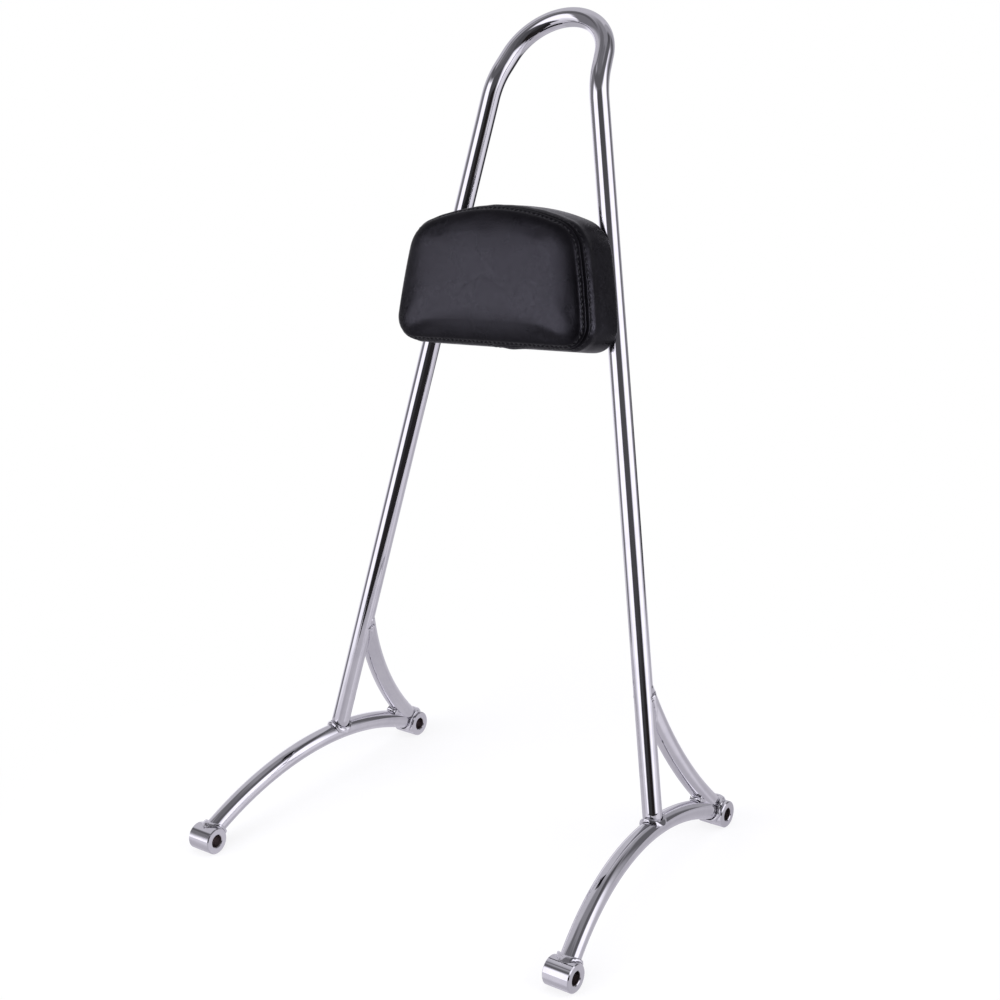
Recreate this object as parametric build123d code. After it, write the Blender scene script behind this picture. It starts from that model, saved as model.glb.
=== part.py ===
from build123d import *
import os
from math import acos, atan2, cos, hypot, pi, sin, tan

# Round bar and welds
bar_diameter = 12.7
weld_root_gap = 0.15
weld_leg = 2.6
brace_top_leg = 1.6
crotch_weld_radius = 4.0
crotch_weld_width = 9.0

# Bosses: turned bushes across the bike, with a clearance bore for the fender screws
boss_diameter = 18.0
boss_bore = 8.5
boss_edge = 0.6
front_boss_length = 18.5
front_boss_inset = 1.1
rear_boss_length = 18.5

# Stance of the boss centres: half widths, and the distance from front to rear
front_half_track = 147.8
rear_half_track = 133.2
boss_pitch = 203.0

# Side frames: each arm, upright and brace lie in one leaning plane
arm_rise = 30.4
upright_station = 124.4
brace_height = 90.0
brace_foot_rise = 4.0
brace_bow = 8.2

# Hoop: the bend where the uprights turn back, and the loop above it
bend_half_width = 40.9
bend_back = 239.3
bend_height = 477.9
bend_radius = 44.0
loop_lean = 43.0
loop_radius = 37.4

# Pad outline at the front seam, measured up the uprights from their feet, and its slight turn
pad_low = 295.2
pad_high = 379.7
pad_half_low = 74.4
pad_half_high = 62.8
pad_arch = 13.4
pad_side_bow = 1.5
pad_corner_low = 18.3
pad_corner_high = 28.0
pad_flare = 3.4
pad_turn = 2.5

# Pad depth, counted forward from the plane of the uprights' centre lines
pad_seat_gap = 0.3
pad_band_depth = 32.8
pad_crown = 9.0
pad_crown_round = 8.4
cover_thickness = 1.2
cover_return = 13.0
cover_gap = 0.2
board_thickness = 8.0

# Pad plate and its fasteners
plate_height = 28.0
plate_thickness = 3.0
plate_setback = 0.5
plate_rise = 40.0
screw_half_spacing = 30.0
screw_diameter = 6.0
screw_clearance = 0.3
screw_engagement = 6.0
head_diameter = 11.0
head_height = 3.3
head_flat = 6.4
head_dome = 0.7
socket_width = 4.0
socket_depth = 1.9
washer_diameter = 12.4
washer_thickness = 1.6
tee_flange_diameter = 19.0
tee_flange_thickness = 1.5
tee_barrel_diameter = 8.4
tee_barrel_length = 6.0
tee_fit = 0.1

bar_radius = bar_diameter / 2
boss_radius = boss_diameter / 2

# Side plane: origin at the front boss, x to the rear boss, y up the frame
front_point = Vector(front_half_track, 0, 0)
rear_point = Vector(rear_half_track, boss_pitch, 0)
bend_point = Vector(bend_half_width, bend_back, bend_height)
chord = rear_point - front_point
side = Plane(origin=front_point, x_dir=chord, z_dir=chord.cross(bend_point - front_point))
chord_length = chord.length


def on_side(along, up):
    """Point of the right side frame's plane."""
    return side.from_local_coords(Vector(along, up, 0))


def rod(path, radius):
    """Round bar of a given radius along a path, with its seam on the side frame's flank."""
    start = Plane(origin=path @ 0, x_dir=side.z_dir, z_dir=path % 0)
    return sweep(start * Circle(radius), path=path)


def mirrored(shape):
    """The same piece on the other side."""
    return mirror(shape, about=Plane.YZ)


def biggest(shape):
    """The largest solid of a cut."""
    return shape.solids().sort_by(SortBy.VOLUME)[-1]


def left_of(start, end):
    """Unit vector to the left of a run in the side plane."""
    run = end - start
    return Vector(-run.Y, run.X, 0).normalized()


def bowed(start, end, bow):
    """Arc between two points of the side plane, bowed to the left of its run."""
    middle = (start + end) / 2
    return side * ThreePointArc(start, middle + left_of(start, end) * bow, end)


def bow_radius(start, end, bow):
    """Radius of such an arc."""
    half = (end - start).length / 2
    return (half**2 + bow**2) / (2 * bow)


def bow_centre(start, end, bow):
    """Centre of such an arc, in the side plane."""
    middle = (start + end) / 2
    return middle - left_of(start, end) * (bow_radius(start, end, bow) - bow)


# Arm: one arc over the chord between the bosses
arm_span = (Vector(0, 0, 0), Vector(chord_length, 0, 0), arm_rise)
arm_path = bowed(*arm_span)
arm_radius = bow_radius(*arm_span)
arm_centre = bow_centre(*arm_span)
foot_up = arm_centre.Y + (arm_radius**2 - (upright_station - arm_centre.X) ** 2) ** 0.5
foot_point = on_side(upright_station, foot_up)

# Hoop: straight uprights, then a planar loop that is bent back about a crosswise line
rise = bend_point - foot_point
upright_way = rise.normalized()
upright_lean = atan2(rise.Y, rise.Z)
splay = acos(hypot(upright_way.Y, upright_way.Z))
lean = loop_lean * pi / 180
loop_up = Vector(0, sin(lean), cos(lean))
leg_way = Vector(-sin(splay), 0, 0) + loop_up * cos(splay)
leg_length = (bend_half_width - loop_radius * cos(splay)) / sin(splay)
leg_end = bend_point + leg_way * leg_length
loop_centre = leg_end - Vector(loop_radius * cos(splay), 0, 0) - loop_up * (loop_radius * sin(splay))
loop_top = loop_centre + loop_up * loop_radius
bend_turn = upright_way.get_angle(leg_way) * pi / 180
bend_tangent = bend_radius * tan(bend_turn / 2)
bend_start = bend_point - upright_way * bend_tangent
bend_end = bend_point + leg_way * bend_tangent
bend_inward = (leg_way - upright_way).normalized()
bend_depth = bend_radius * (1 / cos(bend_turn / 2) - 1)
bend_middle = bend_point + bend_inward * bend_depth


def across(point):
    """The point's mirror image on the left."""
    return Vector(-point.X, point.Y, point.Z)


def hoop_path(first):
    """Centre line of the hoop, from a point on the right upright to its mirror on the left."""
    return Wire(
        [
            Line(first, bend_start).edge(),
            ThreePointArc(bend_start, bend_middle, bend_end).edge(),
            Line(bend_end, leg_end).edge(),
            ThreePointArc(leg_end, loop_top, across(leg_end)).edge(),
            Line(across(leg_end), across(bend_end)).edge(),
            ThreePointArc(across(bend_end), across(bend_middle), across(bend_start)).edge(),
            Line(across(bend_start), across(first)).edge(),
        ]
    )


# Brace: an arc from just above the rear boss centre to the upright
brace_foot = Vector(chord_length, brace_foot_rise, 0)
brace_top_point = foot_point + upright_way * brace_height
brace_top = side.to_local_coords(brace_top_point)
brace_span = (brace_foot, Vector(brace_top.X, brace_top.Y, 0), brace_bow)
brace_path = bowed(*brace_span)


def boss(centre, length):
    """Turned bush with a through bore along X and broken edges."""
    across_bike = Plane(origin=centre, z_dir=(1, 0, 0))
    body = across_bike * Cylinder(boss_radius, length)
    body = chamfer(body.edges().filter_by(GeomType.CIRCLE), boss_edge)
    body -= across_bike * Cylinder(boss_bore / 2, length)
    rims = body.edges().filter_by(GeomType.CIRCLE)
    bore_rims = [rim for rim in rims if abs(rim.radius - boss_bore / 2) < 1e-6]
    return chamfer(bore_rims, boss_edge)


def drum(centre, length, radius):
    """Plain cylinder across the bike, for copes and welds."""
    return Plane(origin=centre, z_dir=(1, 0, 0)) * Cylinder(radius, length)


front_centre = front_point - Vector(front_boss_inset, 0, 0)
rear_centre = rear_point
front_boss = boss(front_centre, front_boss_length)
rear_boss = boss(rear_centre, rear_boss_length)

# Coped bars: each bar stops a root gap short of the one that it is welded to
cope = bar_radius + weld_root_gap
boss_cope = boss_radius + weld_root_gap
front_cut = drum(front_centre, front_boss_length + 2 * bar_diameter, boss_cope)
rear_cut = drum(rear_centre, rear_boss_length + 2 * bar_diameter, boss_cope)
arm_rod = rod(arm_path, bar_radius)
arm_cut = rod(arm_path, cope)
arm = arm_rod - front_cut - rear_cut

ear = (cope**2 - bar_radius**2) ** 0.5
upright_start = foot_point + upright_way * ear
hoop = rod(hoop_path(upright_start), bar_radius) - arm_cut - mirrored(arm_cut)

upright_line = Line(upright_start, bend_start).edge()
upright_rod = rod(upright_line, bar_radius)
brace_rod = rod(brace_path, bar_radius)
upright_cut = rod(upright_line, cope)
brace = biggest(brace_rod - upright_cut - arm_cut - rear_cut)

# Weld metal: what lies within a leg of both bars and in neither
fat = bar_radius + weld_leg
fat_arm = rod(arm_path, fat)
fat_upright = rod(upright_line, fat)
fat_brace = rod(brace_path, fat)
front_drum = drum(front_centre, front_boss_length - 2 * boss_edge, boss_radius + weld_leg)
rear_drum = drum(rear_centre, rear_boss_length - 2 * boss_edge, boss_radius + weld_leg)
front_core = drum(front_centre, front_boss_length, boss_radius)
rear_core = drum(rear_centre, rear_boss_length, boss_radius)
brace_cut = rod(brace_path, cope)

front_weld = biggest((fat_arm & front_drum) - arm_cut - front_core)
rear_weld = biggest((fat_arm & rear_drum) - arm_cut - rear_core - brace_cut)
upright_weld = biggest((fat_arm & fat_upright) - arm_rod - upright_cut)
brace_heel_weld = biggest((fat_brace & rear_drum) - arm_cut - rear_core - brace_cut - rear_weld)

# Brace top weld: its bead ends where the brace's back comes clear of the upright's bead
top_fat = bar_radius + brace_top_leg
top_angle = (brace_path % 1).get_angle(upright_way) * pi / 180
top_stop = (top_fat - bar_radius * cos(top_angle)) / sin(top_angle)
top_share = 1 - top_stop / brace_path.length
top_path = ThreePointArc(brace_path @ 0, brace_path @ (top_share / 2), brace_path @ top_share)
top_bead = rod(upright_line, top_fat) & rod(top_path, top_fat)
brace_top_weld = biggest(top_bead - upright_rod - brace_cut)


def circles_meet(centre_a, radius_a, centre_b, radius_b):
    """Where two circles of the side plane cross, on the left of the way from a to b."""
    way = centre_b - centre_a
    along = (radius_a**2 - radius_b**2 + way.length**2) / (2 * way.length)
    off = (radius_a**2 - along**2) ** 0.5
    return centre_a + way.normalized() * along + left_of(centre_a, centre_b) * off


# Crotch weld: a plug across the corner where the brace's front leaves the arm's top
crotch = circles_meet(
    arm_centre,
    arm_radius + bar_radius,
    bow_centre(*brace_span),
    bow_radius(*brace_span) + bar_radius,
)
crotch_plug = side * (Pos(crotch.X, crotch.Y, 0) * Cylinder(crotch_weld_radius, crotch_weld_width))
brace_crotch_weld = biggest(crotch_plug - arm_cut - brace_cut)

# Pad frame: origin on the centre line level with the uprights' feet, z forward out of the pad
pad_frame = Plane(
    origin=(0, foot_point.Y, foot_point.Z),
    x_dir=(1, 0, 0),
    z_dir=(0, -cos(upright_lean), sin(upright_lean)),
)


def pad_outline(grow):
    """Pad outline, grown outwards by a distance: straight foot, bowed sides and arched top."""
    low = pad_low - grow
    high = pad_high + grow
    half_low = pad_half_low + grow
    half_high = pad_half_high + grow
    shoulder = high - pad_arch
    side_middle = ((half_low + half_high) / 2 + pad_side_bow, (low + shoulder) / 2)
    foot = Line((-half_low, low), (half_low, low))
    right = ThreePointArc((half_low, low), side_middle, (half_high, shoulder))
    top = ThreePointArc((half_high, shoulder), (0, high), (-half_high, shoulder))
    left = ThreePointArc((-half_high, shoulder), (-side_middle[0], side_middle[1]), (-half_low, low))
    face = make_face([foot, right, top, left])
    corners = face.vertices().sort_by(Axis.Y)
    face = fillet(corners[:2], pad_corner_low + grow)
    corners = [v for v in face.vertices() if abs(v.Y - shoulder) < 1e-6]
    face = fillet(corners, pad_corner_high + grow)
    middle = (pad_low + pad_high) / 2
    return Pos(0, middle) * Rot(0, 0, pad_turn) * Pos(0, -middle) * face


def pad_slab(near, far, grow_near, grow_far):
    """Slab of the pad between two depths, with its sides sloped from one outline to the other."""
    near_face = Pos(0, 0, near) * pad_outline(grow_near)
    far_face = Pos(0, 0, far) * pad_outline(grow_far)
    return pad_frame * loft([near_face, far_face], ruled=True)


pad_back = bar_radius + pad_seat_gap
pad_seam = pad_back + pad_band_depth
board_back = pad_back + cover_thickness
board_front = board_back + board_thickness
inset = cover_thickness + cover_gap


def flare_at(depth):
    """Growth of the outline at a depth: the full flare at the back, none at the seam."""
    return pad_flare * (pad_seam - depth) / pad_band_depth


def sloped(near, far, shrink):
    """Slab that follows the band's slope, shrunk all round."""
    return pad_slab(near, far, flare_at(near) - shrink, flare_at(far) - shrink)


def crown(shrink):
    """Domed front of the pad from the seam forward, shrunk all round."""
    block = pad_frame * (Pos(0, 0, pad_seam) * extrude(pad_outline(-shrink), pad_crown - shrink))
    front_edges = block.faces().sort_by(Axis(pad_frame.origin, pad_frame.z_dir))[-1].edges()
    return fillet(front_edges, pad_crown_round - shrink)


# Cover: front panel and side band, with the band turned in over the back
pad_front_panel = crown(0) - crown(cover_thickness)
band_inner = sloped(board_back, pad_seam, cover_thickness)
window_outline = pad_outline(pad_flare - cover_return)
back_window = pad_frame * (Pos(0, 0, pad_back) * extrude(window_outline, cover_thickness))
pad_side_band = sloped(pad_back, pad_seam, 0) - band_inner - back_window

# Fastener places on the plate, in the pad frame
plate_level = pad_low + plate_rise
plate_front = bar_radius - plate_setback
plate_back = plate_front - plate_thickness
screw_points = [(-screw_half_spacing, plate_level), (screw_half_spacing, plate_level)]


def pegs(near, far, radius):
    """Round pegs at the screw places between two depths."""
    peg = Cylinder(radius, far - near)
    return [pad_frame * (Pos(x, y, (near + far) / 2) * peg) for x, y in screw_points]


def cut_all(body, tools):
    """Body with each tool cut away."""
    for tool in tools:
        body -= tool
    return body


# Board with counterbored holes for the tee nuts, and the foam in front of it
flange_back = board_front - tee_flange_thickness
barrel_back = flange_back - tee_barrel_length
board = sloped(board_back, board_front, inset)
board = cut_all(board, pegs(board_back, board_front, tee_barrel_diameter / 2 + tee_fit))
pad_backboard = cut_all(board, pegs(flange_back, board_front, tee_flange_diameter / 2 + tee_fit))
foam_body = sloped(board_front, pad_seam, inset)
pad_foam = foam_body + crown(inset)


def tee_nut(peg_barrel, peg_flange, peg_bore):
    """Tee nut: barrel and flange with a through thread, drawn as a plain bore."""
    return peg_barrel + peg_flange - peg_bore


tee_bore = pegs(barrel_back, board_front, screw_diameter / 2 + tee_fit)
tee_barrels = pegs(barrel_back, flange_back, tee_barrel_diameter / 2)
tee_flanges = pegs(flange_back, board_front, tee_flange_diameter / 2)
tee_nuts = [tee_nut(*pieces) for pieces in zip(tee_barrels, tee_flanges, tee_bore)]

# Plate between the uprights, coped to both bars
plate_half = foot_point.X
plate_block = pad_frame * Pos(0, plate_level, (plate_front + plate_back) / 2)
plate = plate_block * Box(2 * plate_half, plate_height, plate_thickness)
plate = biggest(plate - upright_cut - mirrored(upright_cut))
screw_hole = screw_diameter / 2 + screw_clearance
pad_plate = cut_all(plate, pegs(plate_back, plate_front, screw_hole))
plate_weld_block = pad_frame * Pos(0, plate_level, plate_back - weld_leg / 2)
plate_weld_zone = plate_weld_block * Box(2 * plate_half, plate_height, weld_leg)
plate_weld_ring = (fat_upright & plate_weld_zone) - upright_rod
plate_weld = plate_weld_ring.solids().sort_by(Axis.X)[0]

# Screws from behind: washer, button head with a hexagon socket, and a plain shank
washer_back = plate_back - washer_thickness
head_back = washer_back - head_height
shank_end = barrel_back + screw_engagement
washers = pegs(washer_back, plate_back, washer_diameter / 2)
washer_holes = pegs(washer_back, plate_back, screw_hole)
pad_washers = [disc - hole for disc, hole in zip(washers, washer_holes)]
pad_screws = []
for x, y in screw_points:
    profile = make_face(
        [
            Line((0, head_back), (head_flat / 2, head_back)),
            SagittaArc((head_flat / 2, head_back), (head_diameter / 2, washer_back), -head_dome),
            Line((head_diameter / 2, washer_back), (screw_diameter / 2, washer_back)),
            Line((screw_diameter / 2, washer_back), (screw_diameter / 2, shank_end)),
            Line((screw_diameter / 2, shank_end), (0, shank_end)),
            Line((0, shank_end), (0, head_back)),
        ]
    )
    screw = revolve(Plane.XZ * profile, Axis.Z)
    socket = extrude(RegularPolygon(socket_width / 2, 6, major_radius=False), socket_depth)
    screw -= Pos(0, 0, head_back) * socket
    pad_screws.append(pad_frame * (Pos(x, y, 0) * screw))

nodes = {
    "hoop": [hoop],
    "left_arm": [mirrored(arm)],
    "right_arm": [arm],
    "left_brace": [mirrored(brace)],
    "right_brace": [brace],
    "front_left_boss": [mirrored(front_boss)],
    "front_right_boss": [front_boss],
    "rear_left_boss": [mirrored(rear_boss)],
    "rear_right_boss": [rear_boss],
    "boss_welds": [front_weld, mirrored(front_weld), rear_weld, mirrored(rear_weld)],
    "upright_welds": [upright_weld, mirrored(upright_weld)],
    "brace_top_welds": [brace_top_weld, mirrored(brace_top_weld)],
    "brace_foot_welds": [
        brace_heel_weld,
        brace_crotch_weld,
        mirrored(brace_heel_weld),
        mirrored(brace_crotch_weld),
    ],
    "pad_plate": [pad_plate],
    "plate_welds": [plate_weld, mirrored(plate_weld)],
    "pad_backboard": [pad_backboard],
    "pad_foam": [pad_foam],
    "pad_front_panel": [pad_front_panel],
    "pad_side_band": [pad_side_band],
    "tee_nuts": tee_nuts,
    "pad_screws": pad_screws,
    "pad_washers": pad_washers,
}

# The origin stands under the middle of the whole bar
solids = [solid for pieces in nodes.values() for piece in pieces for solid in piece.solids()]
envelope = Compound(children=solids)
box = envelope.bounding_box()
stand = Pos(0, -(box.min.Y + box.max.Y) / 2, -box.min.Z)

os.makedirs("parts", exist_ok=True)
for name, pieces in nodes.items():
    solids = [solid for piece in pieces for solid in piece.solids()]
    moved = [stand * solid for solid in solids]
    shape = moved[0] if len(moved) == 1 else Compound(children=moved)
    export_step(shape, f"parts/{name}.step")
print("envelope", box.min, box.max)
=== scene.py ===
import math

import bpy
import numpy as np
from mathutils import Matrix, Vector, noise


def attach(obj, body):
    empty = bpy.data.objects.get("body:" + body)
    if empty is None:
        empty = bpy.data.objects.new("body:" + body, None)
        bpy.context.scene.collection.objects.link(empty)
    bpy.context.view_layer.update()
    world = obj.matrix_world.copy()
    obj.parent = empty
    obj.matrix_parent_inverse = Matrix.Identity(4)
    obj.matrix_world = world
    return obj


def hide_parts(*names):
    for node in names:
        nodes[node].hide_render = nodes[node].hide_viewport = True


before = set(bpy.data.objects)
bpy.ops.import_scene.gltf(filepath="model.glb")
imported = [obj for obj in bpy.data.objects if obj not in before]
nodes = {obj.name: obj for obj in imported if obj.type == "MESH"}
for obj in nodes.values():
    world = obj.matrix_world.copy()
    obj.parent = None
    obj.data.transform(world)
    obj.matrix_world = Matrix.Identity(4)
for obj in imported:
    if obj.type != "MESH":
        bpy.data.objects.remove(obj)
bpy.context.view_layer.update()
MM = 0.001

# Ends of the right arm's centre line in millimetres, on the axes of the front and rear bores
FRONT_POINT = np.array([147.8, -135.795, 9.0])
REAR_POINT = np.array([133.2, 67.205, 9.0])
BORE_RADIUS = 4.25


# Shader helpers
def new_material(name):
    """Node material with its tree, its Principled shader and the row frame's coordinates in metres."""
    mat = bpy.data.materials.new(name)
    mat.use_nodes = True
    tree = mat.node_tree
    coords = tree.nodes.new("ShaderNodeTexCoord").outputs["Object"]
    return mat, tree, tree.nodes["Principled BSDF"], coords


def add(tree, kind, values=(), **settings):
    """New node with its settings and the values of its inputs."""
    node = tree.nodes.new(kind)
    for key, value in settings.items():
        setattr(node, key, value)
    for key, value in dict(values).items():
        node.inputs[key].default_value = value
    return node


def math_node(tree, operation, a, b=0.0):
    """Math node of two inputs, each a number or a socket."""
    node = add(tree, "ShaderNodeMath", operation=operation)
    for socket, value in zip(node.inputs, (a, b)):
        if isinstance(value, (int, float)):
            socket.default_value = value
        else:
            tree.links.new(value, socket)
    return node.outputs[0]


def map_range(tree, value, low, high, to_low=0.0, to_high=1.0):
    """Clamped smooth step of a socket from one range to another."""
    node = add(tree, "ShaderNodeMapRange", interpolation_type="SMOOTHSTEP")
    for key, number in zip(("From Min", "From Max", "To Min", "To Max"), (low, high, to_low, to_high)):
        node.inputs[key].default_value = number
    tree.links.new(value, node.inputs["Value"])
    return node.outputs["Result"]


def mix_colour(tree, factor, a, b):
    """Colour mix of two colours or sockets."""
    node = add(tree, "ShaderNodeMix", data_type="RGBA")
    tree.links.new(factor, node.inputs[0])
    for socket, value in zip((node.inputs[6], node.inputs[7]), (a, b)):
        if isinstance(value, tuple):
            socket.default_value = value
        else:
            tree.links.new(value, socket)
    return node.outputs[2]


def noise_at(tree, coords, scale, detail=3.0, roughness=0.5):
    """Noise factor on the given coordinates, with features of about 1/scale metres."""
    node = add(tree, "ShaderNodeTexNoise", {"Scale": scale, "Detail": detail, "Roughness": roughness})
    tree.links.new(coords, node.inputs["Vector"])
    return node.outputs["Fac"]


def bump(tree, height, distance, strength=1.0, normal=None):
    """Bump of a height socket, in metres."""
    node = add(tree, "ShaderNodeBump", {"Distance": distance, "Strength": strength})
    tree.links.new(height, node.inputs["Height"])
    if normal is not None:
        tree.links.new(normal, node.inputs["Normal"])
    return node.outputs["Normal"]


def mix_shader(tree, factor, a, b):
    """Mix of two shader nodes by a factor socket."""
    node = add(tree, "ShaderNodeMixShader")
    tree.links.new(factor, node.inputs[0])
    tree.links.new(a.outputs[0], node.inputs[1])
    tree.links.new(b.outputs[0], node.inputs[2])
    return node


# Materials: noise scales are in features per metre
CHROME_TINT = (0.86, 0.85, 0.88, 1.0)
CHROME_HAZE = (0.80, 0.79, 0.83, 1.0)
STAIN_DARK = (0.24, 0.205, 0.21, 1.0)
STAIN_PALE = (0.42, 0.36, 0.36, 1.0)
STAIN_ROUGH = 0.3
RIM_OUTER, RIM_INNER = 0.25, 0.1


def chrome_material(name, rough_low, rough_high, ripple, bores=()):
    """Bright plating: faint waviness of the polished bar, hazy spots, and dull unplated bores."""
    mat, tree, shader, coords = new_material(name)
    haze = noise_at(tree, coords, scale=95.0, detail=4.0, roughness=0.6)
    fine = noise_at(tree, coords, scale=1400.0, detail=2.0)
    wear = math_node(tree, "MULTIPLY", haze, math_node(tree, "ADD", fine, 0.5))
    rough = map_range(tree, wear, 0.3, 0.8, rough_low, rough_high)
    colour = mix_colour(tree, map_range(tree, haze, 0.35, 0.75), CHROME_TINT, CHROME_HAZE)
    if bores:
        inside = None
        parts = add(tree, "ShaderNodeSeparateXYZ")
        tree.links.new(coords, parts.inputs[0])
        for _, y, z in bores:
            dy = math_node(tree, "SUBTRACT", parts.outputs["Y"], y * MM)
            dz = math_node(tree, "SUBTRACT", parts.outputs["Z"], z * MM)
            squares = math_node(
                tree, "ADD", math_node(tree, "MULTIPLY", dy, dy), math_node(tree, "MULTIPLY", dz, dz)
            )
            away = math_node(tree, "SQRT", squares)
            here = map_range(tree, away, (BORE_RADIUS + RIM_OUTER) * MM, (BORE_RADIUS + RIM_INNER) * MM)
            inside = here if inside is None else math_node(tree, "MAXIMUM", inside, here)
        stain = mix_colour(tree, haze, STAIN_DARK, STAIN_PALE)
        colour = mix_colour(tree, inside, colour, stain)
        rough = math_node(tree, "ADD", rough, math_node(tree, "MULTIPLY", inside, STAIN_ROUGH))
    tree.links.new(colour, shader.inputs["Base Color"])
    tree.links.new(rough, shader.inputs["Roughness"])
    shader.inputs["Metallic"].default_value = 1.0
    waves = noise_at(tree, coords, scale=70.0, detail=1.0)
    tree.links.new(bump(tree, waves, ripple), shader.inputs["Normal"])
    return mat


chrome = chrome_material("chrome", rough_low=0.035, rough_high=0.09, ripple=0.04 * MM)
chrome_boss = chrome_material(
    "chrome_boss", rough_low=0.05, rough_high=0.12, ripple=0.03 * MM, bores=(FRONT_POINT, REAR_POINT)
)
chrome_weld = chrome_material("chrome_weld", rough_low=0.06, rough_high=0.14, ripple=0.06 * MM)

VINYL_GROOVE = (0.0014, 0.0013, 0.0017, 1.0)
VINYL_PEBBLE = (0.0026, 0.0024, 0.003, 1.0)
VINYL_RUBBED = (0.0038, 0.0035, 0.0043, 1.0)


def vinyl_material(name):
    """Satin black vinyl with a pebbled grain, soft creases and faint rubbed patches."""
    mat, tree, shader, coords = new_material(name)
    warp = add(tree, "ShaderNodeVectorMath", operation="ADD")
    swirl = add(tree, "ShaderNodeTexNoise", {"Scale": 260.0, "Detail": 2.0})
    small = add(tree, "ShaderNodeVectorMath", {"Scale": 1.6 * MM}, operation="SCALE")
    tree.links.new(coords, swirl.inputs["Vector"])
    tree.links.new(swirl.outputs["Color"], small.inputs[0])
    tree.links.new(coords, warp.inputs[0])
    tree.links.new(small.outputs[0], warp.inputs[1])
    cells = add(
        tree, "ShaderNodeTexVoronoi", {"Scale": 950.0, "Randomness": 1.0}, feature="DISTANCE_TO_EDGE"
    )
    tree.links.new(warp.outputs[0], cells.inputs["Vector"])
    pebble = map_range(tree, cells.outputs["Distance"], 0.0, 0.22)
    fine = noise_at(tree, coords, scale=2600.0, detail=3.0)
    cloud = noise_at(tree, coords, scale=38.0, detail=3.0, roughness=0.55)
    grain = math_node(tree, "ADD", pebble, math_node(tree, "MULTIPLY", fine, 0.5))
    first = bump(tree, cloud, 0.12 * MM, strength=0.3)
    tree.links.new(bump(tree, grain, 0.06 * MM, strength=0.65, normal=first), shader.inputs["Normal"])
    dark = mix_colour(tree, pebble, VINYL_GROOVE, VINYL_PEBBLE)
    rubbed = mix_colour(tree, map_range(tree, cloud, 0.45, 0.8), dark, VINYL_RUBBED)
    tree.links.new(rubbed, shader.inputs["Base Color"])
    satin = map_range(tree, cloud, 0.25, 0.75, to_low=0.22, to_high=0.28)
    rough = math_node(tree, "ADD", satin, math_node(tree, "MULTIPLY", fine, 0.06))
    tree.links.new(rough, shader.inputs["Roughness"])
    shader.inputs["Specular IOR Level"].default_value = 0.15
    shader.inputs["Specular Tint"].default_value = (0.88, 0.86, 1.0, 1.0)
    return mat


vinyl = vinyl_material("black_vinyl")


def woven_material(name):
    """Thin black backing cloth with a plain weave."""
    mat, tree, shader, coords = new_material(name)
    heights = []
    for axis in ("X", "Z"):
        wave = add(tree, "ShaderNodeTexWave", {"Scale": 1100.0, "Distortion": 0.6}, bands_direction=axis)
        tree.links.new(coords, wave.inputs["Vector"])
        heights.append(wave.outputs["Fac"])
    weave = math_node(tree, "MULTIPLY", heights[0], heights[1])
    fuzz = noise_at(tree, coords, scale=900.0, detail=3.0)
    height = math_node(tree, "ADD", weave, math_node(tree, "MULTIPLY", fuzz, 0.4))
    tree.links.new(bump(tree, height, 0.1 * MM, strength=0.8), shader.inputs["Normal"])
    colour = mix_colour(tree, weave, (0.006, 0.006, 0.007, 1.0), (0.028, 0.027, 0.03, 1.0))
    tree.links.new(colour, shader.inputs["Base Color"])
    tree.links.new(map_range(tree, fuzz, 0.2, 0.8, to_low=0.75, to_high=0.95), shader.inputs["Roughness"])
    return mat


def thread_material(name):
    """Twisted black thread with a light sheen."""
    mat, tree, shader, coords = new_material(name)
    twist = noise_at(tree, coords, scale=3200.0, detail=2.0)
    colour = mix_colour(tree, twist, (0.006, 0.006, 0.007, 1.0), (0.018, 0.0175, 0.02, 1.0))
    tree.links.new(colour, shader.inputs["Base Color"])
    tree.links.new(bump(tree, twist, 0.08 * MM, strength=0.8), shader.inputs["Normal"])
    tree.links.new(map_range(tree, twist, 0.2, 0.8, to_low=0.35, to_high=0.55), shader.inputs["Roughness"])
    shader.inputs["Specular IOR Level"].default_value = 0.25
    return mat


def zinc_material(name):
    """Zinc plated steel with fine brushing and a cloudy bloom."""
    mat, tree, shader, coords = new_material(name)
    bloom = noise_at(tree, coords, scale=320.0, detail=4.0, roughness=0.65)
    brush = noise_at(tree, coords, scale=2400.0, detail=2.0)
    colour = mix_colour(tree, bloom, (0.46, 0.47, 0.49, 1.0), (0.68, 0.68, 0.69, 1.0))
    tree.links.new(colour, shader.inputs["Base Color"])
    tree.links.new(map_range(tree, brush, 0.2, 0.8, to_low=0.22, to_high=0.4), shader.inputs["Roughness"])
    tree.links.new(bump(tree, brush, 0.02 * MM), shader.inputs["Normal"])
    shader.inputs["Metallic"].default_value = 1.0
    return mat


def board_material(name):
    """Plywood stained black, with its grain showing."""
    mat, tree, shader, coords = new_material(name)
    stretch = add(tree, "ShaderNodeMapping", {"Scale": (0.12, 1.0, 1.0)})
    tree.links.new(coords, stretch.inputs["Vector"])
    streaks = noise_at(tree, stretch.outputs[0], scale=420.0, detail=6.0, roughness=0.6)
    colour = mix_colour(tree, streaks, (0.02, 0.017, 0.015, 1.0), (0.075, 0.06, 0.048, 1.0))
    tree.links.new(colour, shader.inputs["Base Color"])
    tree.links.new(bump(tree, streaks, 0.12 * MM), shader.inputs["Normal"])
    tree.links.new(map_range(tree, streaks, 0.2, 0.8, to_low=0.55, to_high=0.8), shader.inputs["Roughness"])
    return mat


backing = woven_material("backing_cloth")
thread = thread_material("black_thread")
zinc = zinc_material("zinc_steel")
board = board_material("black_board")


def dress(names, mat):
    """Gives CAD nodes a material."""
    for name in names:
        slots = nodes[name].data.materials
        slots.clear()
        slots.append(mat)


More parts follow.
